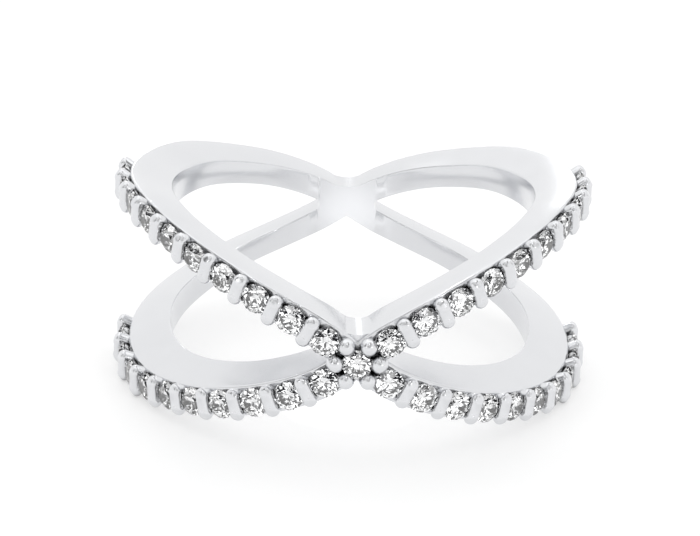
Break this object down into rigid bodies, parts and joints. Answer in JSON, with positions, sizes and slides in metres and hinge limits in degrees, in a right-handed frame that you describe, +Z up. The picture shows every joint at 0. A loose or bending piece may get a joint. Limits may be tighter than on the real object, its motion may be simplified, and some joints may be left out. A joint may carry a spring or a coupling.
{
  "type": "crossover ring",
  "caption": "Finger ring of two slender bands that cross at the front and the back, with round stones set between rounded prongs along the front arms.",
  "frame": {"origin": "on the axis of the finger hole, midway between the ring's upper and lower rims", "axes": "+Z up along the axis of the finger hole, as the ring lies on its side; -Y toward the stone-set crossing at the front; +X to the right as seen from the front"},
  "size_m": [0.0224, 0.0217, 0.01],
  "materials": {
    "metal": "mirror-polished white gold",
    "stone": "polished facets, colourless"
  },
  "bodies": {
    "root": {"band": "metal", "stone_centre": "stone", "stone_upper_right_1": "stone", "stone_upper_right_2": "stone", "stone_upper_right_3": "stone", "stone_upper_right_4": "stone", "stone_upper_right_5": "stone", "stone_upper_right_6": "stone", "stone_upper_right_7": "stone", "stone_upper_right_8": "stone", "stone_upper_right_9": "stone", "stone_upper_right_10": "stone", "stone_upper_left_1": "stone", "stone_upper_left_2": "stone", "stone_upper_left_3": "stone", "stone_upper_left_4": "stone", "stone_upper_left_5": "stone", "stone_upper_left_6": "stone", "stone_upper_left_7": "stone", "stone_upper_left_8": "stone", "stone_upper_left_9": "stone", "stone_upper_left_10": "stone", "stone_lower_left_1": "stone", "stone_lower_left_2": "stone", "stone_lower_left_3": "stone", "stone_lower_left_4": "stone", "stone_lower_left_5": "stone", "stone_lower_left_6": "stone", "stone_lower_left_7": "stone", "stone_lower_left_8": "stone", "stone_lower_left_9": "stone", "stone_lower_left_10": "stone", "stone_lower_right_1": "stone", "stone_lower_right_2": "stone", "stone_lower_right_3": "stone", "stone_lower_right_4": "stone", "stone_lower_right_5": "stone", "stone_lower_right_6": "stone", "stone_lower_right_7": "stone", "stone_lower_right_8": "stone", "stone_lower_right_9": "stone", "stone_lower_right_10": "stone"}
  },
  "joints": []
}
